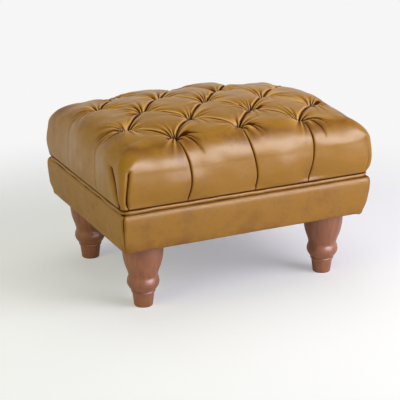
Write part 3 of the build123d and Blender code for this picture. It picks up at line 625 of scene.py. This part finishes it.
def slack_wrinkles(flat_x, flat_y, seed):
    """Slack creases that leave each outer button and fade over the shoulder: lines that bow by a
    share of their length, whose depth rises and falls along them as a sine, uneven in length and
    depth. Gives the depth, and the dark line of painted shade in it."""
    draw = np.random.default_rng(seed)
    total = np.zeros_like(flat_x)
    line = np.zeros_like(flat_x)
    for x0, y0 in BUTTONS:
        if abs(y0) == FIELD_Y:
            way_x, way_y, runs, bend = -np.sign(y0), np.sign(y0), FACE_SLACK, -0.13
        elif abs(x0) == FIELD_X:
            way_x, way_y, runs, bend = np.sign(x0), np.sign(y0), END_SLACK, 0.06
        else:
            continue
        for run_x, run_y, deep in runs:
            run_x *= draw.uniform(0.8, 1.2) * way_x
            run_y *= draw.uniform(0.75, 1.25) * way_y
            deep *= draw.uniform(0.85, 1.15)
            length = np.hypot(run_x, run_y)
            t = np.clip(((flat_x - x0) * run_x + (flat_y - y0) * run_y) / length ** 2, 0, 1)
            bow = bend * np.sin(pi * t) * np.sign(run_x * run_y)
            aside = np.hypot(flat_x - x0 - t * run_x + bow * run_y,
                             flat_y - y0 - t * run_y - bow * run_x)
            held = np.sin(pi * np.clip(0.12 + 0.88 * t, 0, 1)) ** 0.8
            total += deep * held * bell(aside, 2.6, 1.3)
            # The dark line is painted shade along the crease
            line = np.maximum(line, np.minimum(deep / 3.2, 1.0) * held * bell(aside, 1.2, 1))
    return total, line


# Sideways lean of the front and back pleats at their feet: places across the stool, and leans
PLEAT_LEAN = ((-225, -152, 0, 152, 225), (0, 3, 13, -8, 0))


def seat_points(depth, per, rings):
    """The tufted pad: the plain pad, pulled in along its own normal by the folds, pleats, darts and
    gathers. The back slumps, most at its right and at its buttons. The whole is made a little
    uneven, its right end is fuller, and the pleats of the front and back lean and bow sideways, as a
    sine of the height. A band over the shoulder, just above the highlight, is painted darker as
    shade. Gives the points, and the fold, crease and lip from 0 to about 1: the fold partly burnish
    and partly painted shade, the crease painted shade and the lip a painted highlight."""
    base, flat_x, flat_y, ring, round_corner = pad_base(per, rings)
    high = base[..., 2]
    total, crease_and_shade, lap, lip_highlight = tuft_depth(flat_x, flat_y, high, round_corner, depth)
    small, ridge_highlight = gathers(flat_x, flat_y, 11)
    slack, line = slack_wrinkles(flat_x, flat_y, 12)
    small += slack
    held = smooth((high - PAD_FOOT - 0.3) / 12.0)
    drawn = (total + 5.5 * crease_and_shade * (1 - 0.6 * smooth(total / depth - 0.5)) + small - lap) * held
    back = smooth((flat_y - 60) / 100)
    slump = 2.5 * back + 5.5 * back * smooth((flat_x - 130) / 60)
    for x0 in (-154, 10, 156):
        slump += 5.0 * bell(np.hypot(flat_x - x0, flat_y - 182), 26.0)
    normal = outward(base)
    points = base - normal * (drawn + slump * held)[..., None]
    free = held * (1 - 0.6 * smooth(total / depth))
    uneven = 1.3 * waves(base, 150.0, 3) + 0.35 * waves(base, 42.0, 4)
    points += normal * (free * uneven)[..., None]
    drift = xyz(waves(base, 120.0, 5), waves(base, 120.0, 6), 0)
    points += drift * (1.6 * held)[..., None]
    points[..., 0] += fuller_end(base[..., 0]) * held
    fallen = np.clip((EDGE_TOP - 14 - high) / (EDGE_TOP - 262), 0, 1)
    lean = np.interp(flat_x, *PLEAT_LEAN) * smooth(fallen * 1.1)
    bow = 8.0 * np.sin(pi * fallen) * smooth((215 - np.abs(flat_x)) / 60) + lean
    points[..., 0] -= bow * np.sign(flat_y) * smooth((np.abs(flat_y) - FIELD_Y) / 20)
    # Painted shade: a darker band over the shoulder, just above the highlight
    shoulder_shade = bell(high - 372, 16) * smooth((ring / rings - 0.08) / 0.12)
    shoulder_shade *= 0.42 + 0.14 * waves(base * [1, 1, 2.5], 110.0, 13)
    fold_and_shade = np.clip((total / depth) ** 0.8 + 0.08 * small + shoulder_shade, 0, 1.2)
    # Painted shade at the pad's foot above the piping, on the slack creases and in the gathers' creases,
    # and a painted highlight on the gathers' ridges away from any crease
    crease_and_shade = np.maximum(crease_and_shade, 0.85 * smooth((253.0 - high) / 5.0))
    crease_and_shade = np.maximum(crease_and_shade, np.maximum(line, 0.9 * smooth((small - 1.6) / 2.8)))
    lip_highlight = np.maximum(lip_highlight, ridge_highlight) * (1 - smooth((crease_and_shade - 0.2) / 0.5))
    return points, fold_and_shade, crease_and_shade, lip_highlight


def build_seat(settings):
    """The tufted seat: its points as a grid, split along the lower diagonals so that creases run
    unbroken, and closed below by a fan."""
    per, rings = ((56, 88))
    points, fold_and_shade, crease_and_shade, lip_highlight = seat_points(settings.tuft_depth / MM, per, rings)
    rows, columns = points.shape[:2]
    quads = grid_faces(rows, columns)
    high = points[..., 2].ravel()
    falling = high[quads[:, 0]] + high[quads[:, 2]] < high[quads[:, 1]] + high[quads[:, 3]]
    one = np.concatenate([quads[falling][:, [0, 1, 2]], quads[falling][:, [0, 2, 3]]])
    other = np.concatenate([quads[~falling][:, [1, 2, 3]], quads[~falling][:, [1, 3, 0]]])
    index = np.arange(rows * columns).reshape(rows, columns)
    rim = np.concatenate([index[:-1, 0], index[-1, :-1], index[:0:-1, -1], index[0, :0:-1]])
    cap = fan_faces(rim[::-1], rows * columns)
    flat = points.reshape(-1, 3)
    flat = np.vstack([flat, [[0, 0, flat[rim, 2].mean()]]])
    # The fold, crease and lip marks carry painted shade and a painted highlight into the leather
    marks = {"fold_and_shade": fold_and_shade, "crease_and_shade": crease_and_shade, "lip_highlight": lip_highlight}
    piece = make_piece("tufted_seat", flat, [one, other, cap], "seat_leather",
                       {label: np.append(values.ravel(), 0) for label, values in marks.items()})
    settle(piece, "leather", "seat_cover", "fibre_wrap", "foam_block")


# Buttons, piping, border, legs and dust cover

BUTTON_RADIUS = 8.0
BUTTON_HEIGHT = 6.0
BUTTON_BASE = 29.0


def build_buttons():
    """Covered buttons: a dome whose radius grows as a sine and whose height falls as a power of the
    cosine, pleated round its rim by a sine of the angle, and closed underneath."""
    angle = np.linspace(0, 2 * pi, 36, endpoint=False)
    share = np.linspace(0, 1, 9)[1:, None]
    pleat = 1 + 0.03 * share ** 3 * np.sin(9 * angle)
    radius = BUTTON_RADIUS * np.sin(share * pi / 2) * pleat
    high = BUTTON_HEIGHT * np.cos(share * pi / 2) ** 0.8
    dome, groups = capped(xyz(radius * np.cos(angle), radius * np.sin(angle), high),
                          (0, 0, BUTTON_HEIGHT), (0, 0, -1.0))
    x, y = np.transpose(BUTTONS)[..., None]
    z = TOP - CROWN * (x / FIELD_X) ** 2 - CROWN * (y / FIELD_Y) ** 2 - BUTTON_BASE
    points = dome + xyz(x, y, z)
    start = (np.arange(len(BUTTONS)) * len(dome))[:, None, None]
    groups = [(faces + start).reshape(-1, faces.shape[1]) for faces in groups]
    # Painted shade: the buttons are marked as folded and mostly creased, so they come out dark like the
    # pits they sit in
    marks = {"fold_and_shade": np.full(points.shape[:2], 1.0), "crease_and_shade": np.full(points.shape[:2], 0.62)}
    piece = make_piece("leather_buttons", points, groups, "button_leather", marks)
    settle(piece, "leather", "buttons")


PIPING_RADIUS = 4.8
PIPING_HEIGHT = 242.5


def build_piping():
    """A round cord sewn in leather: a circle carried round the pad, which waves a little up and
    down, more on the ends, and in and out, puckers at its stitches and laps over itself where it
    joins. It follows the pad's fuller right end."""
    points, out, length = rounded_loop(294.0, 219.2, 16.0)
    count = len(points)
    run = np.arange(count) / count * length
    place = np.column_stack([points, np.zeros(count)])
    on_end = np.abs(out[:, 0])
    lift = (0.6 + 1.2 * on_end) * waves(place, 66.0, 21) + 0.3 * waves(place, 30.0, 22)
    sway = 0.5 * waves(place, 110.0, 23)
    joint = length - 20.0
    past_joint = (run - joint + length / 2) % length - length / 2
    radius = PIPING_RADIUS + 0.12 * waves(place, 9.0, 24) + 0.35 * bell(past_joint, 5.0)
    radius -= 0.7 * bell(past_joint - 7.0, 1.6)
    sides = 20
    angle = np.linspace(0, 2 * pi, sides, endpoint=False)
    around = radius[:, None] * np.cos(angle) + sway[:, None]
    up = radius[:, None] * np.sin(angle) + lift[:, None] + PIPING_HEIGHT
    tube = xyz(points[:, None, 0] + out[:, None, 0] * around,
               points[:, None, 1] + out[:, None, 1] * around, up)
    turned = np.degrees(np.abs((angle + pi) % (2 * pi) - pi))
    # Painted shade on the sides of the cord that turn up and down into the gaps against the pad and the
    # border
    hidden_side_shade = smooth((turned - 62) / 30)[None, :] + 0 * radius[:, None]
    tube[..., 0] += fuller_end(tube[..., 0])
    piece = make_piece("piping", tube, [grid_faces(count, sides, True, True)], "trim_leather",
                       {"fold_and_shade": 0.5 * hidden_side_shade, "crease_and_shade": 0.9 * hidden_side_shade})
    settle(piece, "leather", "piping_cover", "piping_cord")


# The border's section, from its top under the piping to its foot: outward distance and height
BORDER_PROFILE = ((-17.0, 237.2), (-12.0, 237.9), (-7.0, 238.0), (-2.6, 235.6), (-0.4, 230.0),
                  (0.0, 222.0), (-1.2, 205.0), (-3.0, 188.0), (-4.8, 172.0), (-6.6, 160.0),
                  (-8.0, 154.6), (-10.5, 152.5), (-17.0, 152.2))


def border_points(start, stop):
    """One side of the border. Its section is carried round the stool between two corner seams. It
    is pinched in at the seams, puckers and sags beside them, is rounded in below at each corner,
    follows the pad's fuller right end, and has faint upright stretch marks. Gives the points, the
    fold and the crease: the crease paints shade along the seams and in the gap under the piping, and
    the fold paints shade beside the seams and is darker towards the foot."""
    loop, out, length = rounded_loop(BORDER_X, BORDER_Y, BORDER_CORNER)
    run = np.arange(len(loop) + 1) / len(loop) * length
    keep = np.linspace(start, stop, int((stop - start) / 2.5)) % length
    plan, way = (np.stack([np.interp(keep, run, np.append(line[:, k], line[0, k])) for k in (0, 1)], 1)
                 for line in (loop, out))
    way /= np.linalg.norm(way, axis=1, keepdims=True)
    section = smooth_line(BORDER_PROFILE, 52)
    passed = np.linspace(0, stop - start, len(keep))
    from_seam = np.minimum(passed, passed[::-1])
    low = smooth((186.0 - section[:, 1]) / 36.0)[None, :]
    visible = smooth((section[:, 0] + 12.0) / 8.0)[None, :]
    pinch = 1.9 * bell(from_seam, 1.6, 1) - 0.8 * bell(from_seam - 4.5, 2.5)
    tuck = 6.0 * smooth(1 - from_seam / 24.0)
    offset = section[None, :, 0] - pinch[:, None] * visible - tuck[:, None] * low ** 1.5
    high = section[None, :, 1]
    points = xyz(plan[:, None, 0] + way[:, None, 0] * offset,
                 plan[:, None, 1] + way[:, None, 1] * offset, high)
    points[..., 0] += fuller_end(points[..., 0]) * smooth((high - 150) / 60)
    flowing = points * np.array([1, 1, 0.22])
    swell = 0.55 * waves(flowing, 75.0, 31) + 0.1 * waves(flowing, 23.0, 32)
    points[..., :2] += way[:, None, :] * (visible * swell)[..., None]
    sag = 2.6 * bell(from_seam - 13.0, 9.0) + 0.2 * waves(points[:, -1] * [1, 1, 0], 80.0, 33)
    points[..., 2] -= np.clip(sag, -0.4, 3.0)[:, None] * smooth((168.0 - high) / 14.0)
    # Painted shade beside the seams and in the gap under the piping; the fold is also darker towards the
    # foot
    fold_and_shade = 0.15 + 0.5 * bell(from_seam, 3.0, 1)[:, None] + 0.15 * low
    shade_under_piping = smooth((-2.9 - section[:, 0]) / 2.3) * (section[:, 1] > 232)
    crease_and_shade = np.maximum(0.8 * bell(from_seam, 1.3, 1)[:, None] * visible,
                        (0.5 + 0.4 * np.abs(way[:, :1])) * shade_under_piping)
    return points, fold_and_shade, crease_and_shade


def build_border():
    """The four sides of the leather border, each between two corner seams."""
    long_side, short_side = ((half - BORDER_CORNER) * 2 + BORDER_CORNER / 2 * pi
                             for half in (BORDER_X, BORDER_Y))
    start = -long_side / 2
    for side, size in (("front", long_side), ("right", short_side),
                       ("back", long_side), ("left", short_side)):
        points, fold_and_shade, crease_and_shade = border_points(start, start + size)
        piece = make_piece(f"border_{side}_leather", points, [grid_faces(*points.shape[:2])],
                           "trim_leather", {"fold_and_shade": fold_and_shade, "crease_and_shade": crease_and_shade}, closed=False)
        wall = piece.modifiers.new("leather", "SOLIDIFY")
        wall.thickness = 1.2 * MM
        wall.offset = -1.0
        nodes = [f"border_{side}"] + (["border_padding"] if side == "front" else [])
        settle(piece, "leather", *nodes)
        start += size


# A leg's section, as radius and height: its tapered foot, its ring, and its bulb, neck and vase
LEG_PROFILE_FOOT = ((0.0, 0.0), (18.2, 0.0), (19.8, 0.5), (20.5, 1.9), (21.4, 9.0), (22.9, 20.0),
                    (24.4, 31.2), (24.9, 32.6))
LEG_PROFILE_RING = ((24.9, 32.6), (26.3, 33.2), (26.8, 34.8), (26.3, 36.4), (25.2, 37.1))
LEG_PROFILE_TOP = ((25.2, 37.1), (28.4, 40.5), (32.6, 46.6), (35.3, 53.5), (35.4, 59.5), (33.9, 65.5),
                   (32.1, 70.6), (32.3, 74.5), (34.6, 83.0), (38.4, 94.0), (41.6, 105.0),
                   (43.9, 118.0), (45.0, 132.0), (45.3, 144.0), (45.0, 151.3))


def build_legs():
    """Turned legs: a profile spun about each leg's own upright axis."""
    parts = [smooth_line(LEG_PROFILE_FOOT[:2], 4), smooth_line(LEG_PROFILE_FOOT[1:], 26),
             smooth_line(LEG_PROFILE_RING, 12), smooth_line(LEG_PROFILE_TOP, 70)]
    line = np.vstack([parts[0][1:-1], parts[1][:-1], parts[2][:-1], parts[3]])
    radius, high = line[:, None, 0], line[:, None, 1]
    angle = np.linspace(0, 2 * pi, 72, endpoint=False)
    for along, across, x, y in LEGS:
        rings = xyz(x + radius * np.cos(angle), y + radius * np.sin(angle), high)
        points, groups = capped(rings, (x, y, 0.0), (x, y, line[-1, 1]))
        piece = make_piece(f"turned_leg_{along}_{across}", points, groups, "leg_lacquer")
        settle(piece, "leg_wood", f"leg_{along}_{across}")


def build_dust_cover():
    """The black cloth under the frame: a flat sheet, stapled round its edge, that sags a little
    between, by the product of two sines, but not near the legs."""
    x, y = np.meshgrid(np.linspace(-CLOTH_X / 2, CLOTH_X / 2, 96),
                       np.linspace(-CLOTH_Y / 2, CLOTH_Y / 2, 72), indexing="ij")
    free = np.ones_like(x)
    for _, _, leg_x, leg_y in LEGS:
        free *= smooth((np.hypot(x - leg_x, y - leg_y) - 52.0) / 60.0)
    inside = np.sin(pi * (x / CLOTH_X + 0.5)) * np.sin(pi * (y / CLOTH_Y + 0.5))
    sag = free * inside * (2.2 + 0.5 * waves(xyz(x, y, 0), 120.0, 41))
    piece = make_piece("dust_cloth", xyz(x, y, 151.8 - sag), [grid_faces(*x.shape)[:, ::-1]],
                       "black_cloth", closed=False)
    wall = piece.modifiers.new("cloth", "SOLIDIFY")
    wall.thickness = 0.5 * MM
    wall.offset = 0.0
    settle(piece, "dust_cloth", "dust_cover")


# Stage

def seen_rays(finish, mirrored=1.0):
    """1 for rays straight from the camera, 0 for rays that light the scene, and mirrored, a share
    from 0 to 1, for rays that the camera sees in a gloss or through a clear piece."""
    rays = finish.node("ShaderNodeLightPath").outputs
    others = Signal(finish, rays["Is Glossy Ray"]) + Signal(finish, rays["Is Transmission Ray"])
    return (Signal(finish, rays["Is Camera Ray"]) + others * mirrored).at_most(1.0)


def floor_finish(colour):
    """Pale paper. Straight from the camera it glows a little, so that the stool's shadow stays soft.
    Far from the stool it is the plain backdrop for every ray that shows it, mirrored ones too."""
    finish = Finish("floor_paper")
    paper = finish.node("ShaderNodeBsdfDiffuse")
    finish.fill(paper.inputs["Color"], colour)
    glow = finish.node("ShaderNodeEmission", None, {"Strength": 1.48})
    finish.fill(glow.inputs["Color"], (0.985, 0.978, 0.996))
    backdrop = finish.node("ShaderNodeEmission")
    finish.fill(backdrop.inputs["Color"], BACKDROP)
    camera = Signal(finish, finish.node("ShaderNodeLightPath").outputs["Is Camera Ray"])
    near = finish.blend(camera * 0.22, paper.outputs[0], glow.outputs[0])
    apart = finish.node("ShaderNodeVectorMath", {"operation": "LENGTH"}, {0: finish.place})
    far = Signal(finish, apart.outputs["Value"]).between(0.65, 1.15)
    both = finish.blend(seen_rays(finish) * far, near, backdrop.outputs[0])
    finish.node("ShaderNodeOutputMaterial", None, {"Surface": both})


def studio_world(scene):
    """A pale backdrop all round, which lights the stool more from near the floor than from overhead.
    The camera sees it plain, and a gloss sees it plain low down and as that light overhead."""
    finish = Finish("studio", "worlds")
    parts = finish.node("ShaderNodeSeparateXYZ", None, {0: finish.coordinates.outputs["Generated"]})
    height = Signal(finish, parts.outputs["Z"])
    room = finish.node("ShaderNodeBackground", None, {"Strength": height.between(0.15, 0.55, 0.38, 0.1)})
    finish.fill(room.inputs["Color"], (1.0, 1.0, 1.0))
    plain = finish.node("ShaderNodeBackground")
    finish.fill(plain.inputs["Color"], BACKDROP)
    rays = seen_rays(finish, height.between(0.3, 0.62, 1.0, 0.0))
    finish.node("ShaderNodeOutputWorld", None,
                {"Surface": finish.blend(rays, room.outputs[0], plain.outputs[0])})
    scene.world = finish.block


def softbox(scene, name, place, target_height, size, watts, colour, lights):
    """A rectangular lamp at a place, turned to face a height over the middle of the stool. One that
    lights gives no highlight, and one that doesn't gives nothing else."""
    light = bpy.data.lights.new(name, "AREA")
    light.shape = "RECTANGLE"
    light.size, light.size_y = size
    light.energy = watts
    light.color = colour
    lamp = bpy.data.objects.new(name, light)
    lamp.visible_diffuse = lights
    lamp.visible_glossy = not lights
    lamp.location = place
    toward = Vector((0.0, 0.0, target_height)) - Vector(place)
    lamp.rotation_euler = toward.to_track_quat("-Z", "Y").to_euler()
    scene.collection.objects.link(lamp)


# Settings, operators and panel

def colour_setting(name, description, default):
    """A screen colour as a property."""
    return bpy.props.FloatVectorProperty(name=name, description=description, default=default,
                                         min=0, max=1, subtype="COLOR_GAMMA")


class FootstoolSettings(bpy.types.PropertyGroup):
    """The depth of the tufts and the colours, for a user to change"""
    tuft_depth: bpy.props.FloatProperty(
        name="Tuft depth", description="How far each button is drawn into the pad", default=26.0 * MM,
        min=5.0 * MM, max=40.0 * MM, unit="LENGTH")
    tan: colour_setting("Leather", "Colour of the leather", (0.64, 0.44, 0.12))
    # The burnished colour also paints the shade in folds and other marked places
    burnish_and_shade: colour_setting("Burnished leather", "Colour in the folds", (0.48, 0.28, 0.03))
    pale: colour_setting("Stretched leather", "Colour where the leather is stretched",
                         (0.69, 0.50, 0.20))
    leg_colour: colour_setting("Legs", "Colour of the lacquered legs", (0.655, 0.395, 0.27))
    floor_colour: colour_setting("Floor", "Colour of the floor near the stool", (0.953, 0.946, 0.992))


# Slot, name, dark and light colour, roughness, scale of the pattern, height of its grain, metallic
PLAIN_FINISHES = (
    ("dust_cloth", "black_cloth", (0.03, 0.03, 0.035), (0.09, 0.09, 0.1), 0.85, (900, 900, 900), 0.0001),
    ("frame_wood", "frame_beech", (0.62, 0.46, 0.30), (0.76, 0.61, 0.43), 0.55, (9, 220, 220), 0.0002),
    ("board", "birch_ply", (0.66, 0.53, 0.37), (0.80, 0.69, 0.52), 0.6, (12, 90, 400), 0.0002),
    ("fibre", "polyester_fibre", (0.86, 0.86, 0.84), (0.95, 0.95, 0.94), 0.95, (700, 700, 300), 0.0006),
    ("foam", "foam", (0.84, 0.80, 0.62), (0.92, 0.89, 0.73), 0.95, (1500, 1500, 1500), 0.0004),
    ("twine", "twine", (0.66, 0.60, 0.48), (0.83, 0.78, 0.66), 0.9, (900, 900, 500), 0.0002),
    ("toggle", "toggle_plastic", (0.86, 0.85, 0.82), (0.90, 0.89, 0.86), 0.45, (60, 60, 60)),
    ("steel", "zinced_steel", (0.62, 0.62, 0.60), (0.74, 0.74, 0.72), 0.32, (250, 250, 250), 0.0, 1.0),
)


class FOOTSTOOL_OT_finishes(bpy.types.Operator):
    """Make the leather, wood, metal and cloth, and put them on the construction pieces"""
    bl_idname = "footstool.finishes"
    bl_label = "Finishes"

    def execute(self, context):
        settings = context.scene.footstool
        colours = tuple(settings.tan), tuple(settings.burnish_and_shade), tuple(settings.pale)
        for name, mottle, least_rough in (("seat_leather", 1.0, 0.2), ("trim_leather", 1.05, 0.31),
                                          ("button_leather", 0.5, 0.2)):
            leather_finish(name, *colours, mottle, least_rough)
        slots = {slot: plain_finish(*values) for slot, *values in PLAIN_FINISHES}
        slots["leather"] = bpy.data.materials["trim_leather"]
        slots["leg_wood"] = leg_finish(tuple(settings.leg_colour))
        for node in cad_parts.values():
            for place, material in enumerate(node.data.materials):
                slot = material.name.split(".")[0] if material else None
                if slot in slots:
                    node.data.materials[place] = slots[slot]
        return {"FINISHED"}


class FOOTSTOOL_OT_seat(bpy.types.Operator):
    """Build the tufted leather seat and its covered buttons"""
    bl_idname = "footstool.seat"
    bl_label = "Tufted seat"

    def execute(self, context):
        build_seat(context.scene.footstool)
        build_buttons()
        return {"FINISHED"}


class FOOTSTOOL_OT_border(bpy.types.Operator):
    """Build the piping and the leather border round the frame"""
    bl_idname = "footstool.border"
    bl_label = "Piping and border"

    def execute(self, context):
        build_piping()
        build_border()
        return {"FINISHED"}


class FOOTSTOOL_OT_legs(bpy.types.Operator):
    """Build the four turned legs"""
    bl_idname = "footstool.legs"
    bl_label = "Turned legs"

    def execute(self, context):
        build_legs()
        return {"FINISHED"}


class FOOTSTOOL_OT_dust_cover(bpy.types.Operator):
    """Build the cloth under the frame"""
    bl_idname = "footstool.dust_cover"
    bl_label = "Dust cover"

    def execute(self, context):
        build_dust_cover()
        return {"FINISHED"}


# Name, place, height faced, size, watts, colour, and whether it lights or is a highlight alone
LAMPS = (
    ("key", (1.5, -1.75, 1.5), 0.3, (1.75, 1.75), 51.5, (1, 1, 1), True),
    ("window", (1.2, -2.3, 1.25), 0.3, (2.3, 1.75), 186.0, (0.72, 0.82, 1.0), False),
    ("top", (0.2, 0.5, 2.6), 0.3, (2.2, 2.2), 23.0, (0.96, 1.0, 0.88), True),
    ("left", (-2.5, -0.9, 2.0), 0.2, (1.6, 1.6), 28.0, (0.88, 1.0, 0.4), True),
)
FLOOR_REACH = 30000.0

# The camera of the photograph: lens and sensor in millimetres, place in metres, and how far it
# looks down and round to the right in degrees
CAMERA_LENS = (123.34, 36.0)
CAMERA_PLACE = (-1.3092, -2.6864, 1.2209)
CAMERA_DOWN, CAMERA_ROUND = 19.6, 25.78


class FOOTSTOOL_OT_stage(bpy.types.Operator):
    """Build the floor, the lights and the camera"""
    bl_idname = "footstool.stage"
    bl_label = "Stage"

    def execute(self, context):
        scene = context.scene
        scene.view_settings.view_transform = "Standard"
        floor_finish(tuple(scene.footstool.floor_colour))
        edges = [-FLOOR_REACH, FLOOR_REACH]
        x, y = np.meshgrid(edges, edges, indexing="ij")
        floor = make_piece("floor", xyz(x, y, 0), [grid_faces(2, 2)], "floor_paper", closed=False)
        studio_world(scene)
        for lamp in LAMPS:
            softbox(scene, *lamp)
        lens = bpy.data.cameras.new("camera")
        lens.lens, lens.sensor_width = CAMERA_LENS
        camera = bpy.data.objects.new("camera", lens)
        camera.location = CAMERA_PLACE
        camera.rotation_euler = (radians(90 - CAMERA_DOWN), 0, radians(-CAMERA_ROUND))
        scene.collection.objects.link(camera)
        scene.camera = camera
        return {"FINISHED"}


OPERATORS = (FOOTSTOOL_OT_finishes, FOOTSTOOL_OT_seat, FOOTSTOOL_OT_border, FOOTSTOOL_OT_legs,
             FOOTSTOOL_OT_dust_cover, FOOTSTOOL_OT_stage)


class FOOTSTOOL_PT_panel(bpy.types.Panel):
    """Lists the footstool's pieces and settings"""
    bl_idname = "FOOTSTOOL_PT_panel"
    bl_label = "Footstool"
    bl_space_type = "VIEW_3D"
    bl_region_type = "UI"
    bl_category = "Footstool"

    def draw(self, context):
        for name in FootstoolSettings.__annotations__:
            self.layout.prop(context.scene.footstool, name)
        for operator in OPERATORS:
            self.layout.operator(operator.bl_idname)


CLASSES = (FootstoolSettings, *OPERATORS, FOOTSTOOL_PT_panel)


def register():
    for each in CLASSES:
        bpy.utils.register_class(each)
    bpy.types.Scene.footstool = bpy.props.PointerProperty(type=FootstoolSettings)


def unregister():
    del bpy.types.Scene.footstool
    for each in reversed(CLASSES):
        bpy.utils.unregister_class(each)


def main():
    """Builds each group of pieces in turn."""
    register()
    for operator in OPERATORS:
        group, action = operator.bl_idname.split(".")
        getattr(getattr(bpy.ops, group), action)()
    bpy.context.view_layer.update()


if __name__ == "__main__":
    main()
